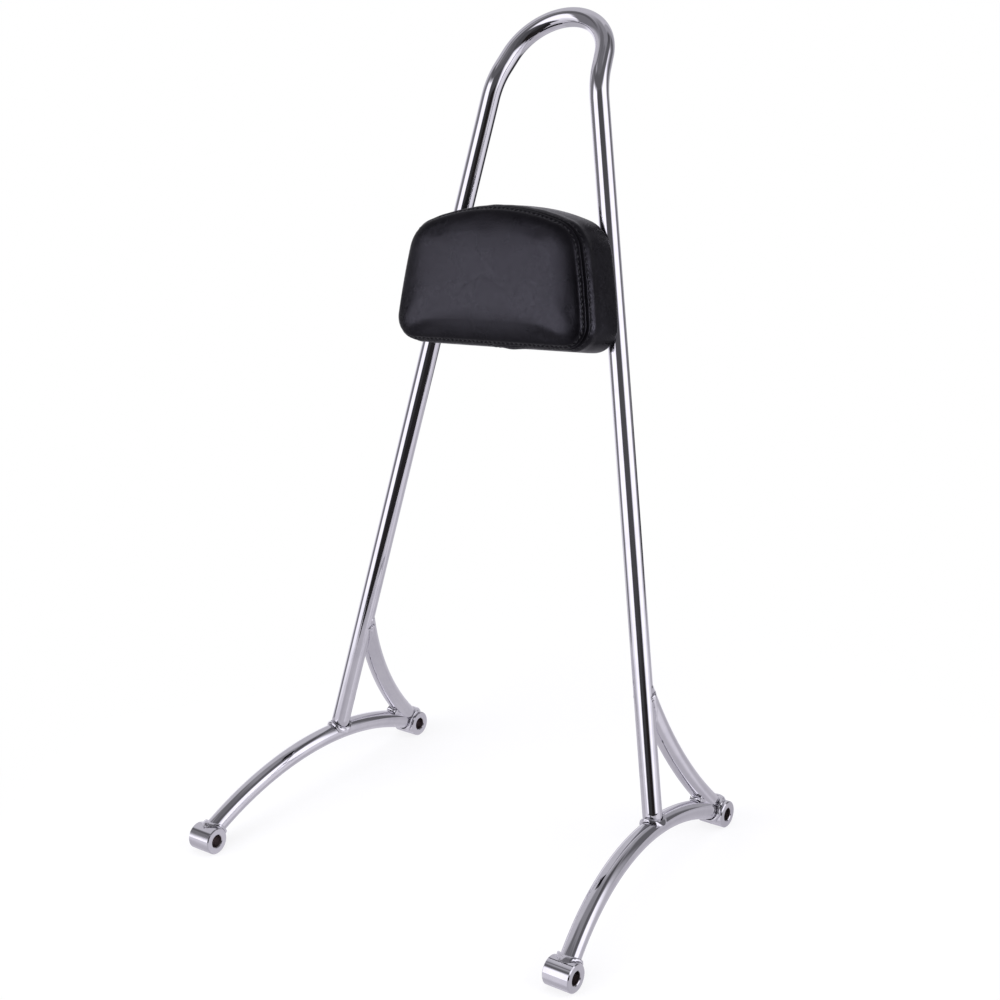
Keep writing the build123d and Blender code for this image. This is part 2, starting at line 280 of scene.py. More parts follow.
dress(["pad_plate"], chrome)
dress(["front_left_boss", "front_right_boss", "rear_left_boss", "rear_right_boss"], chrome_boss)
dress(["tee_nuts", "pad_screws", "pad_washers"], zinc)
dress(["pad_backboard"], board)


# Object helpers
def mesh_object(name, verts, faces, mats, smooth=True):
    """Mesh object from points in metres and faces."""
    mesh = bpy.data.meshes.new(name)
    mesh.from_pydata([tuple(v) for v in verts], [], faces)
    for mat in mats:
        mesh.materials.append(mat)
    mesh.polygons.foreach_set("use_smooth", [smooth] * len(mesh.polygons))
    mesh.update()
    obj = bpy.data.objects.new(name, mesh)
    bpy.context.scene.collection.objects.link(obj)
    return obj


def ring_quads(row_count, around):
    """Quads between rings of points, each ring closed round."""
    faces = []
    for j in range(row_count - 1):
        low, high = j * around, (j + 1) * around
        for i in range(around):
            k = (i + 1) % around
            faces.append((low + i, low + k, high + k, high + i))
    return faces


def end_caps(row_count, around):
    """Faces that close the first and the last ring."""
    last = (row_count - 1) * around
    return [tuple(range(around))[::-1], tuple(range(last, last + around))]


def apply_modifiers(obj):
    """Bakes an object's modifiers into its mesh."""
    graph = bpy.context.evaluated_depsgraph_get()
    made = bpy.data.meshes.new_from_object(obj.evaluated_get(graph))
    obj.modifiers.clear()
    obj.data = made


# Welds: lumpy beads over the CAD fillets
WELD_VOXEL = 0.45 * MM
LUMP_SIZE = 4.4 * MM
LUMP_REACH = 0.85
LAST_SMOOTHING = 6


def soften(obj, iterations):
    """Rounds off a mesh's edges."""
    smooth = obj.modifiers.new("smooth", "SMOOTH")
    smooth.factor = 0.5
    smooth.iterations = iterations
    apply_modifiers(obj)


def weld_bead(node, name, shift, height, melt, sink):
    """Bead grown from a CAD weld: remeshed, melted at its edges, then swollen into overlapping puddles."""
    mesh = nodes[node].data.copy()
    mesh.materials.clear()
    mesh.materials.append(chrome_weld)
    obj = bpy.data.objects.new(name, mesh)
    bpy.context.scene.collection.objects.link(obj)
    remesh = obj.modifiers.new("remesh", "REMESH")
    remesh.mode = "VOXEL"
    remesh.voxel_size = WELD_VOXEL
    apply_modifiers(obj)
    soften(obj, melt)
    mesh = obj.data
    count = len(mesh.vertices)
    points = np.zeros(count * 3)
    normals = np.zeros(count * 3)
    mesh.vertices.foreach_get("co", points)
    mesh.vertices.foreach_get("normal", normals)
    points = points.reshape(-1, 3)
    normals = normals.reshape(-1, 3)
    swell = np.zeros(count)
    for i, p in enumerate(points):
        q = Vector(p) / LUMP_SIZE + Vector((shift, 0.0, 0.0))
        near = noise.voronoi(q)[0][0]
        swell[i] = math.sqrt(max(0.0, 1.0 - (near / LUMP_REACH) ** 2))
    points += normals * (swell * height - sink)[:, None]
    mesh.vertices.foreach_set("co", points.ravel())
    mesh.update()
    soften(obj, LAST_SMOOTHING)
    obj.data.polygons.foreach_set("use_smooth", [True] * len(obj.data.polygons))
    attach(obj, "root")
    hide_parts(node)


weld_bead("boss_welds", "boss_beads", shift=0.0, height=0.5 * MM, melt=20, sink=0.75 * MM)
weld_bead("upright_welds", "upright_beads", shift=3.7, height=0.55 * MM, melt=10, sink=0.8 * MM)
weld_bead("brace_top_welds", "brace_top_beads", shift=7.4, height=0.4 * MM, melt=4, sink=0.05 * MM)
weld_bead("brace_foot_welds", "brace_foot_beads", shift=11.1, height=0.8 * MM, melt=8, sink=0.7 * MM)
weld_bead("plate_welds", "plate_beads", shift=14.8, height=0.7 * MM, melt=8, sink=0.25 * MM)


# Bars: the CAD centre lines again, in millimetres, swept finely so that reflections run smooth
BAR_RADIUS = 6.35
BAR_AROUND = 56
BEND_POINT = np.array([40.9, 103.505, 486.9])
ARM_RISE, UPRIGHT_STATION = 30.4, 124.4
BRACE_HEIGHT, BRACE_FOOT_RISE, BRACE_BOW = 90.0, 4.0, 8.2
BEND_RADIUS, LOOP_LEAN, LOOP_RADIUS = 44.0, math.radians(43.0), 37.4

# How far from a bore's axis a bar stops, and how far above the arm's centre line the hoop starts
BOSS_KEEP = 6.6
HOOP_START = 0.6

# Points along each run, and a direction that no bar starts along
ARM_STEPS, BRACE_STEPS = 161, 71
UPRIGHT_STEPS, BEND_STEPS, LEG_STEPS, LOOP_STEPS = 48, 15, 4, 33
NO_BAR_WAY = (0.3, 1.0, 0.1)


def unit(v):
    """Vector of length one."""
    return v / np.linalg.norm(v)


SIDE_X = unit(REAR_POINT - FRONT_POINT)
SIDE_Y = BEND_POINT - FRONT_POINT
SIDE_Y = unit(SIDE_Y - SIDE_X * (SIDE_Y @ SIDE_X))
CHORD = np.linalg.norm(REAR_POINT - FRONT_POINT)


def on_side(flat):
    """Points of the right side frame's plane in the row frame."""
    return FRONT_POINT + flat[:, :1] * SIDE_X + flat[:, 1:] * SIDE_Y


def bowed(start, end, bow, count):
    """Points of an arc between two points of the side plane, bowed to the left of its run."""
    start, end = np.array(start), np.array(end)
    run = end - start
    half = np.linalg.norm(run) / 2
    radius = (half**2 + bow**2) / (2 * bow)
    left = np.array([-run[1], run[0]]) / (2 * half)
    centre = (start + end) / 2 - left * (radius - bow)
    reach = math.asin(half / radius)
    turns = np.linspace(-reach, reach, count)
    along = run / (2 * half)
    return centre + radius * (np.sin(turns)[:, None] * along + np.cos(turns)[:, None] * left)


def arc_between(start, way_in, end, count):
    """Points of the arc that leaves a point along a direction and ends at another point."""
    gap = end - start
    side_way = gap - way_in * (gap @ way_in)
    turn = 2 * math.atan2(np.linalg.norm(side_way), gap @ way_in)
    side_way = unit(side_way)
    radius = np.linalg.norm(gap) / (2 * math.sin(turn / 2))
    at = np.linspace(0, turn, count)[:, None]
    return start + radius * (np.sin(at) * way_in + (1 - np.cos(at)) * side_way)


def outside_boss(points, boss):
    """Centre line stopped inside the boss's wall, clear of its bore."""
    away = np.hypot(points[:, 1] - boss[1], points[:, 2] - boss[2])
    return points[away > BOSS_KEEP]


def bar(name, node, line):
    """Round bar along a centre line, with closed ends."""
    ways = np.gradient(line, axis=0)
    ways /= np.linalg.norm(ways, axis=1)[:, None]
    normal = unit(np.cross(ways[0], NO_BAR_WAY))
    turns = np.linspace(0, 2 * math.pi, BAR_AROUND, endpoint=False)
    verts = []
    for point, way in zip(line, ways):
        normal = unit(normal - way * (normal @ way))
        across = np.cross(way, normal)
        for t in turns:
            verts.append((point + BAR_RADIUS * (math.cos(t) * normal + math.sin(t) * across)) * MM)
    faces = ring_quads(len(line), BAR_AROUND) + end_caps(len(line), BAR_AROUND)
    obj = mesh_object(name, verts, faces, [chrome])
    for face in obj.data.polygons[-2:]:
        face.use_smooth = False
    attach(obj, "root")
    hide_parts(node)


MIRROR = np.array([-1.0, 1.0, 1.0])
arm_flat = bowed((0.0, 0.0), (CHORD, 0.0), ARM_RISE, ARM_STEPS)
arm_line = outside_boss(outside_boss(on_side(arm_flat), FRONT_POINT), REAR_POINT)
arm_bend = (CHORD**2 / 4 + ARM_RISE**2) / (2 * ARM_RISE)
foot_up = ARM_RISE - arm_bend + math.sqrt(arm_bend**2 - (UPRIGHT_STATION - CHORD / 2) ** 2)
foot = on_side(np.array([[UPRIGHT_STATION, foot_up]]))[0]
upright_way = unit(BEND_POINT - foot)
brace_top = foot + upright_way * BRACE_HEIGHT - FRONT_POINT
brace_span = ((CHORD, BRACE_FOOT_RISE), (brace_top @ SIDE_X, brace_top @ SIDE_Y), BRACE_BOW)
brace_line = outside_boss(on_side(bowed(*brace_span, BRACE_STEPS)), REAR_POINT)

# Hoop: straight upright, bend, short leg, and the loop to the middle
loop_up = np.array([0.0, math.sin(LOOP_LEAN), math.cos(LOOP_LEAN)])
splay = math.acos(math.hypot(upright_way[1], upright_way[2]))
leg_way = np.array([-math.sin(splay), 0.0, 0.0]) + loop_up * math.cos(splay)
leg_length = (BEND_POINT[0] - LOOP_RADIUS * math.cos(splay)) / math.sin(splay)
leg_end = BEND_POINT + leg_way * leg_length
loop_centre = leg_end - LOOP_RADIUS * (np.array([math.cos(splay), 0.0, 0.0]) + loop_up * math.sin(splay))
bend_reach = BEND_RADIUS * math.tan(math.acos(upright_way @ leg_way) / 2)
bend_start = BEND_POINT - upright_way * bend_reach
bend_end = BEND_POINT + leg_way * bend_reach
half_hoop = np.concatenate(
    [
        np.linspace(foot + upright_way * HOOP_START, bend_start, UPRIGHT_STEPS)[:-1],
        arc_between(bend_start, upright_way, bend_end, BEND_STEPS)[:-1],
        np.linspace(bend_end, leg_end, LEG_STEPS)[:-1],
        arc_between(leg_end, leg_way, loop_centre + loop_up * LOOP_RADIUS, LOOP_STEPS),
    ]
)
bar("hoop_bar", "hoop", np.concatenate([half_hoop, (half_hoop * MIRROR)[-2::-1]]))
for label, mirror in (("right", 1.0), ("left", MIRROR)):
    bar(f"{label}_arm_bar", f"{label}_arm", arm_line * mirror)
    bar(f"{label}_brace_bar", f"{label}_brace", brace_line * mirror)


# Pad frame, in millimetres: x to the right, v up the uprights, n forward out of the pad
UPRIGHT_LEAN = math.radians(14.4265)
PAD_ORIGIN = np.array([0.0, -12.098, 37.518])
PAD_X = np.array([1.0, 0.0, 0.0])
PAD_V = np.array([0.0, math.sin(UPRIGHT_LEAN), math.cos(UPRIGHT_LEAN)])
PAD_N = np.array([0.0, -math.cos(UPRIGHT_LEAN), math.sin(UPRIGHT_LEAN)])

# Outline at the seam: foot and top, half widths there, rise of the top, bow of the sides, corner radii
LOW, HIGH = 295.2, 380.4
HALF_LOW, HALF_HIGH = 74.4, 62.8
ARCH, SIDE_BOW = 13.4, 1.5
CORNER_LOW, CORNER_HIGH = 13.5, 23.0
TURN = math.radians(2.5)
MIDDLE = np.array([0.0, (LOW + HIGH) / 2])

# Depths: back, band with its flare behind the seam, and the crowned face
PAD_BACK = 6.65
BAND_DEPTH = 32.8
SEAM = PAD_BACK + BAND_DEPTH
FLARE = 3.4
BAND_FULL = 3.0
CROWN = 9.0
CROWN_REACH = 17.5
CROWN_POWER = 2 / 3
FRONT_DOME = 0.4

# Back: width of the turned-in lip, depth of the backing cloth, radius of the edge
LIP = 13.0
BACK_PANEL = 7.7
BACK_ROUND = 2.8

# Rows of the cover: where they start at the poles, gaps between runs, and how they crowd at the seam
BACK_POLE, FRONT_POLE = 0.12, 0.05
WALL_GAP, LIP_GAP, EDGE_GAP = 0.4, 0.3, 0.15
SEAM_ZONE = 7.0
CROWN_CROWDING = 1.25
FAR_FROM_SEAM = 99.0

# The crown runs in squarely to the outline, turned partly to the middle and smoothed round the corners
INWARD_SQUARE = 0.7
INWARD_BLUR = 0.03


def circle_of(p, q, r):
    """Centre and radius of the circle through three points."""
    (ax, ay), (bx, by), (cx, cy) = p, q, r
    d = 2 * (ax * (by - cy) + bx * (cy - ay) + cx * (ay - by))
    a2, b2, c2 = ax * ax + ay * ay, bx * bx + by * by, cx * cx + cy * cy
    x = (a2 * (by - cy) + b2 * (cy - ay) + c2 * (ay - by)) / d
    y = (a2 * (cx - bx) + b2 * (ax - cx) + c2 * (bx - ax)) / d
    return np.array([x, y]), math.hypot(ax - x, ay - y)


def pad_arcs():
    """Arcs of the right half of the outline, from the foot's middle to the top's middle."""
    shoulder = HIGH - ARCH
    side_mid = ((HALF_LOW + HALF_HIGH) / 2 + SIDE_BOW, (LOW + shoulder) / 2)
    side_c, side_r = circle_of((HALF_LOW, LOW), side_mid, (HALF_HIGH, shoulder))
    top_c, top_r = circle_of((HALF_HIGH, shoulder), (0.0, HIGH), (-HALF_HIGH, shoulder))
    low_y = LOW + CORNER_LOW
    low_x = side_c[0] + math.sqrt((side_r - CORNER_LOW) ** 2 - (low_y - side_c[1]) ** 2)
    low_c = np.array([low_x, low_y])
    way = top_c - side_c
    gap = np.linalg.norm(way)
    ra, rb = side_r - CORNER_HIGH, top_r - CORNER_HIGH
    along = (ra**2 - rb**2 + gap**2) / (2 * gap)
    off = math.sqrt(ra**2 - along**2)
    ahead = way / gap
    choices = [side_c + ahead * along + s * off * np.array([-ahead[1], ahead[0]]) for s in (1, -1)]
    high_c = min(choices, key=lambda c: np.linalg.norm(c - np.array([HALF_HIGH, shoulder])))

    def bearing(a, b):
        """Angle of the way from one point to another."""
        return math.atan2(b[1] - a[1], b[0] - a[0])

    a1, a2, a3 = bearing(side_c, low_c), bearing(side_c, high_c), bearing(top_c, high_c)
    return [
        (low_c, CORNER_LOW, -math.pi / 2, a1),
        (side_c, side_r, a1, a2),
        (high_c, CORNER_HIGH, a2, a3),
        (top_c, top_r, a3, math.pi / 2),
    ]


def pad_outline(count):
    """Even points round the outline with their outward normals, and the length of the outline."""
    arcs = pad_arcs()
    foot = arcs[0][0][0]
    lengths = [foot] + [r * (b - a) for _, r, a, b in arcs]
    half = sum(lengths)
    points, outward = [], []
    for i in range(count):
        s = 2 * half * i / count
        flip = s > half
        s = 2 * half - s if flip else s
        if s <= foot:
            p, n = np.array([s, LOW]), np.array([0.0, -1.0])
        else:
            s -= foot
            for c, r, a, b in arcs:
                if s <= r * (b - a) + 1e-9 or c is arcs[-1][0]:
                    t = a + s / r
                    n = np.array([math.cos(t), math.sin(t)])
                    p = c + n * r
                    break
                s -= r * (b - a)
        mirror = np.array([-1.0, 1.0]) if flip else np.ones(2)
        points.append(p * mirror)
        outward.append(n * mirror)
    return np.array(points), np.array(outward), 2 * half


def bulge(n):
    """Growth of the band at a depth: none at the seam, full soon behind it, as a stuffed side is."""
    return FLARE * (1 - ((n - PAD_BACK) / (SEAM - PAD_BACK)) ** BAND_FULL)


def profile_rows(fine):
    """Rows of the cover from the back's middle to the front's middle.

    Each row is (kind, growth or scale, depth, distance past the seam)."""
    rows = []
    lip_edge = FLARE - LIP
    for k in np.linspace(BACK_POLE, 1.0, 7 * fine):
        rows.append(("back", k, BACK_PANEL, -FAR_FROM_SEAM))
    for n in np.linspace(BACK_PANEL - WALL_GAP, PAD_BACK + EDGE_GAP, 2 * fine):
        rows.append(("wall", lip_edge, n, -FAR_FROM_SEAM))
    for g in np.linspace(lip_edge + LIP_GAP, FLARE - BACK_ROUND, 4 * fine):
        rows.append(("wall", g, PAD_BACK, -FAR_FROM_SEAM))
    for t in np.linspace(0, math.pi / 2, 3 * fine + 1)[1:]:
        n = PAD_BACK + BACK_ROUND * (1 - math.cos(t))
        rows.append(("wall", bulge(n) - BACK_ROUND * (1 - math.sin(t)), n, n - SEAM))
    start = PAD_BACK + BACK_ROUND
    near = SEAM - SEAM_ZONE
    for n in [*np.linspace(start, near, 7 * fine)[1:], *np.linspace(near, SEAM, 9 * fine)[1:]]:
        rows.append(("wall", bulge(n), n, n - SEAM))
    for u in np.linspace(0, 1, 15 * fine)[1:]:
        t = math.pi / 2 * u**CROWN_CROWDING
        n = SEAM + CROWN * math.sin(t)
        rows.append(("crown", CROWN_REACH * (1 - max(math.cos(t), 0.0) ** CROWN_POWER), n, n - SEAM))
    for k in np.linspace(1.0, FRONT_POLE, 12 * fine)[1:]:
        rows.append(("front", k, SEAM + CROWN, FAR_FROM_SEAM))
    return rows


def blurred(values, share):
    """Values round the outline, smoothed over a share of its length."""
    waves = np.fft.fftfreq(len(values), 1.0 / len(values))
    gain = np.exp(-2 * (math.pi * share * waves) ** 2)[:, None]
    return np.fft.ifft(np.fft.fft(values, axis=0) * gain, axis=0).real


def pad_points(points, outward, rows):
    """Grid of the cover's points in (x, v, n), one line for each row."""
    grid = np.zeros((len(rows), len(points), 3))
    radial = points - MIDDLE
    radial /= np.linalg.norm(radial, axis=1)[:, None]
    inward = blurred(-INWARD_SQUARE * outward - (1 - INWARD_SQUARE) * radial, INWARD_BLUR)
    inward /= np.linalg.norm(inward, axis=1)[:, None]
    for j, (kind, amount, depth, _) in enumerate(rows):
        if kind == "wall":
            flat = points + outward * amount
        elif kind == "crown":
            flat = points + inward * amount
        else:
            edge = points + (outward * (FLARE - LIP) if kind == "back" else inward * CROWN_REACH)
            flat = MIDDLE + (edge - MIDDLE) * amount
        grid[j, :, :2] = flat
        grid[j, :, 2] = depth + (FRONT_DOME * (1 - amount**2) ** 2 if kind == "front" else 0.0)
    return grid


def to_frame(local):
    """Pad points turned by the pad's slight turn and put in the row frame, in metres."""
    x, v = local[..., 0], local[..., 1] - MIDDLE[1]
    turned_x = x * math.cos(TURN) - v * math.sin(TURN)
    turned_v = x * math.sin(TURN) + v * math.cos(TURN) + MIDDLE[1]
    place = PAD_ORIGIN + turned_x[..., None] * PAD_X + turned_v[..., None] * PAD_V
    return (place + local[..., 2][..., None] * PAD_N) * MM


def grid_faces(row_count, around):
    """Quads of a grid that is closed round, and the fans at its two poles."""
    faces = ring_quads(row_count, around)
    first, last = row_count * around, row_count * around + 1
    top = (row_count - 1) * around
    for i in range(around):
        k = (i + 1) % around
        faces.append((first, k, i))
        faces.append((last, top + i, top + k))
    return faces


def with_poles(grid):
    """Grid points as a list, with the middle of the first and last row added."""
    flat = grid.reshape(-1, 3)
    return np.concatenate([flat, grid[0].mean(0)[None], grid[-1].mean(0)[None]])


# Cloth: a coarse cover is blown up a little between its sewn seam and its lip
SIM_AROUND = 150
SIM_FRAMES = 20
SIM_CAP = 2.2 * MM
SIM_SMOOTHING = 10
SEWN_HALF = 0.9


def simulated_swell():
    """Movement of a coarse cover under cloth pressure, one line for each row."""
    points, outward, _ = pad_outline(SIM_AROUND)
    rows = profile_rows(1)
    grid = to_frame(pad_points(points, outward, rows))
    rest = with_poles(grid)
    obj = mesh_object("sim_cover", rest, grid_faces(len(rows), SIM_AROUND), [])
    held = []
    for j, (kind, _, depth, past) in enumerate(rows):
        if kind == "back" or depth < PAD_BACK + BACK_ROUND or abs(past) < SEWN_HALF:
            held += range(j * SIM_AROUND, (j + 1) * SIM_AROUND)
    held.append(len(rest) - 2)
    group = obj.vertex_groups.new(name="sewn")
    group.add(held, 1.0, "REPLACE")
    cloth = obj.modifiers.new("cloth", "CLOTH")
    settings = cloth.settings
    settings.quality = 6
    settings.mass = 0.25
    settings.tension_stiffness = 30.0
    settings.compression_stiffness = 30.0
    settings.shear_stiffness = 12.0
    settings.bending_stiffness = 4.0
    settings.use_pressure = True
    settings.uniform_pressure_force = 4.0
    settings.vertex_group_mass = "sewn"
    settings.effector_weights.gravity = 0.0
    cloth.collision_settings.use_collision = False
    cloth.collision_settings.use_self_collision = False
    cloth.point_cache.frame_start = 1
    cloth.point_cache.frame_end = SIM_FRAMES
    scene = bpy.context.scene
    for number in range(1, SIM_FRAMES + 1):
        scene.frame_set(number)
    graph = bpy.context.evaluated_depsgraph_get()
    moved = np.array([v.co for v in obj.evaluated_get(graph).data.vertices])
    scene.frame_set(1)
    bpy.data.objects.remove(obj)
    move = moved - rest
    size = np.linalg.norm(move, axis=1)
    move *= (np.minimum(size, SIM_CAP) / np.maximum(size, 1e-9))[:, None]
    move = move[:-2].reshape(len(rows), SIM_AROUND, 3)
    for _ in range(SIM_SMOOTHING):
        move = 0.5 * move + 0.25 * (np.roll(move, 1, axis=1) + np.roll(move, -1, axis=1))
    return move


def resample(values, count, closed):
    """Catmull-Rom resampling of the first axis to a new count."""
    old = len(values)
    at = np.arange(count) * old / count if closed else np.linspace(0, old - 1, count)
    base = np.floor(at).astype(int)
    t = (at - base).reshape((-1,) + (1,) * (values.ndim - 1))
    picks = [(base + k) % old if closed else np.clip(base + k, 0, old - 1) for k in (-1, 0, 1, 2)]
    p0, p1, p2, p3 = (values[k] for k in picks)
    return 0.5 * (
        2 * p1 + (p2 - p0) * t + (2 * p0 - 5 * p1 + 4 * p2 - p3) * t**2 + (3 * p1 - p0 - 3 * p2 + p3) * t**3
    )


# Seam, topstitching and puckers, on a fine cover
AROUND = 450
FINE = 2
STITCH_ROW = 3.1
STITCH_PITCH = 3.4
RELIEF_REACH = 20.0
WANDER_SCALE = 2.2

# Humps across the seam in millimetres: height, distance from the seam, width
SEAM_GROOVE = (-0.75, 0.0, 0.5)
SEAM_RIDGE = (1.05, 1.6, 0.95)
STITCH_DENT = (-0.3, STITCH_ROW, 0.5)
STITCH_HOLE = (-0.4, STITCH_ROW, 0.8)
BAND_PUFF = (0.9, 6.5, 3.2)
FACE_PUFF = (0.8, 5.4, 1.8)
BAND_WAVES = (0.12, 6.5, 3.5)
RUMPLE, RUMPLE_START, RUMPLE_FADE = 0.08, 1.6, 3.0

# Upright join of the band's ends: humps beside it, and along it those of the tuck and the slack
JOIN_AT = 2.0
JOIN_GROOVE = (-0.7, 0.0, 0.6)
JOIN_RIDGE = (0.3, 1.5, 0.8)
TUCK_BESIDE, TUCK_ALONG = (-0.7, 0.0, 2.2), (1.0, 0.0, 2.0)
SLACK_BESIDE, SLACK_ALONG = (1.1, 11.0, 9.0), (1.0, -6.0, 5.0)
JOIN_END, JOIN_START = 0.5, 1.0
FOOT_EDGE = 0.5


def wander(s, length, seed):
    """Smooth waviness round the outline, about one high and built from whole waves."""
    total = np.zeros_like(s)
    for k in range(1, 7):
        waves = 5 * k + (seed * 7 + 3 * k) % 5
        total += math.sin(seed + k) * np.sin(2 * math.pi * waves * s / length + seed * k)
    return total / WANDER_SCALE


def hump(x, height, at, width):
    """Bell of a height and width round a place."""
    return height * np.exp(-(((x - at) / width) ** 2))


def seam_relief(past, s, length, pitch):
    """Height of the cover's surface at a distance past the seam: groove, sewn ridges, puckers."""
    d = np.abs(past)
    seam = hump(past, *SEAM_GROOVE) + hump(d, *SEAM_RIDGE)
    sewn = hump(d, *STITCH_DENT) + np.cos(2 * math.pi * s / pitch) * hump(d, *STITCH_HOLE)
    puff = np.where(past < 0, hump(d, *BAND_PUFF), hump(d, *FACE_PUFF))
    rumple = RUMPLE * wander(s, length, 2) * np.exp(-np.maximum(d - RUMPLE_START, 0) / RUMPLE_FADE)
    band = np.where(past < 0, wander(s, length, 5) * hump(d, *BAND_WAVES), 0.0)
    return seam + sewn + puff + rumple + band


def join_relief(past, x, depth):
    """Upright join of the band's ends under the pad, with a small tuck where it meets the seam."""
    on_band = (past < JOIN_END) & (depth > PAD_BACK + JOIN_START)
    beside = x - JOIN_AT
    away = np.abs(beside)
    groove = np.where(on_band, hump(away, *JOIN_GROOVE) + hump(away, *JOIN_RIDGE), 0.0)
    tuck = hump(away, *TUCK_BESIDE) * hump(past, *TUCK_ALONG)
    slack = hump(beside, *SLACK_BESIDE) * hump(past, *SLACK_ALONG)
    return groove + tuck + slack


points, outward, outline_length = pad_outline(AROUND)
rows = profile_rows(FINE)
grid = pad_points(points, outward, rows)
stitch_count = round(outline_length / STITCH_PITCH)
whole_pitch = outline_length / stitch_count
around_s = np.arange(AROUND) * outline_length / AROUND
at_foot = points[:, 1] < LOW + FOOT_EDGE
for j, (_, _, depth, past) in enumerate(rows):
    if abs(past) < RELIEF_REACH:
        here = np.full(AROUND, past)
        lift = seam_relief(here, around_s, outline_length, whole_pitch)
        lift += np.where(at_foot, join_relief(here, points[:, 0], depth), 0.0)
        grid[j, :, :2] += outward * lift[:, None]
placed = to_frame(grid)
swell = simulated_swell()
placed += resample(resample(swell, len(rows), False).swapaxes(0, 1), AROUND, True).swapaxes(0, 1)

cover = mesh_object("pad_cover", with_poles(placed), grid_faces(len(rows), AROUND), [vinyl, backing])
back_rows = sum(1 for row in rows if row[0] == "back")
flags = [1 if i < (back_rows - 1) * AROUND else 0 for i in range((len(rows) - 1) * AROUND)]
flags += [1, 0] * AROUND
cover.data.polygons.foreach_set("material_index", flags)
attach(cover, "root")
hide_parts("pad_front_panel", "pad_side_band", "pad_foam")


# Topstitching: one short thread for each stitch, in two rows astride the seam
STITCH_LENGTH = 2.7
THREAD_RADIUS = 0.34
THREAD_LIFT = 0.12
THREAD_SINK = 1.1
STITCH_SKEW, SKEW_PACE, SKEW_PHASE = 0.16, 12.9898, 4.1
STITCH_VARIES, SIZE_PACE = 0.12, 7.31


def capsule(around=7, along=8):
    """Unit stitch along x, from -1 to 1, sunk at its ends."""
    verts = []
    for j in range(along + 1):
        t = -1 + 2 * j / along
        fat = math.sqrt(max(1 - abs(t) ** 3, 0.02))
        for i in range(around):
            a = 2 * math.pi * i / around
            verts.append((t, fat * math.cos(a), fat * math.sin(a) - THREAD_SINK * t * t))
    return np.array(verts), ring_quads(along + 1, around) + end_caps(along + 1, around)


def stitch_rows():
    """All the stitches as one mesh."""
    shape, shape_faces = capsule()
    verts, faces = [], []
    for side in (-1, 1):
        j = min(range(len(rows)), key=lambda k: abs(rows[k][3] - side * STITCH_ROW))
        for n in range(stitch_count):
            here = (n + 0.5) / stitch_count * AROUND
            low = int(here) % AROUND
            part = here - int(here)
            spot = placed[j, low] * (1 - part) + placed[j, (low + 1) % AROUND] * part
            ahead = placed[j, (low + 1) % AROUND] - placed[j, low]
            up = placed[min(j + 1, len(rows) - 1), low] - placed[j - 1, low]
            ahead /= np.linalg.norm(ahead)
            out = np.cross(ahead, up)
            out /= np.linalg.norm(out)
            skew = STITCH_SKEW * math.sin(SKEW_PACE * n + SKEW_PHASE * side)
            across = np.cross(out, ahead)
            ahead = ahead * math.cos(skew) + across * math.sin(skew)
            across = np.cross(out, ahead)
            size = 1 + STITCH_VARIES * math.sin(SIZE_PACE * n + side)
            base = len(verts)
            for x, y, z in shape:
                verts.append(
                    spot
                    + ahead * x * STITCH_LENGTH / 2 * size * MM
                    + across * y * THREAD_RADIUS * MM
                    + out * (z * THREAD_RADIUS + THREAD_LIFT) * MM
                )
            faces += [tuple(base + k for k in face) for face in shape_faces]
    return verts, faces


stitches = mesh_object("pad_stitches", *stitch_rows(), [thread])
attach(stitches, "root")


# Camera at the photograph's angle
CAMERA_TARGET = Vector((76.31, -77.87, 288.04)) * MM
CAMERA_AZIMUTH, CAMERA_ELEVATION, CAMERA_ROLL = 37.76, 18.82, -3.97
CAMERA_DISTANCE = 964.62 * MM
SENSOR_WIDTH, FOCAL_LENGTH = 36.0, 60.207
LENS_SHIFT = (0.0064, -0.0272)


def direction(azimuth, elevation):
    """Unit vector at an azimuth from the front and an elevation, in degrees."""
    az, el = math.radians(azimuth), math.radians(elevation)
    return Vector((math.sin(az) * math.cos(el), -math.cos(az) * math.cos(el), math.sin(el)))


back = direction(CAMERA_AZIMUTH, CAMERA_ELEVATION)
right = direction(CAMERA_AZIMUTH + 90.0, 0.0)
up = back.cross(right)
roll = math.radians(CAMERA_ROLL)
level_right = right * math.cos(roll) + up * math.sin(roll)
level_up = up * math.cos(roll) - right * math.sin(roll)
lens = bpy.data.cameras.new("camera")
lens.sensor_width = SENSOR_WIDTH
lens.lens = FOCAL_LENGTH
lens.shift_x, lens.shift_y = LENS_SHIFT
camera = bpy.data.objects.new("camera", lens)
camera.matrix_world = Matrix.Translation(CAMERA_TARGET + back * CAMERA_DISTANCE) @ Matrix(
    (level_right, level_up, back)
).transposed().to_4x4()
bpy.context.scene.collection.objects.link(camera)
bpy.context.scene.camera = camera


# Studio: a pale room for reflections, white to the camera. Azimuths run from the front to the right
SLANT_BELOW, SLANT = 12.0, 0.7


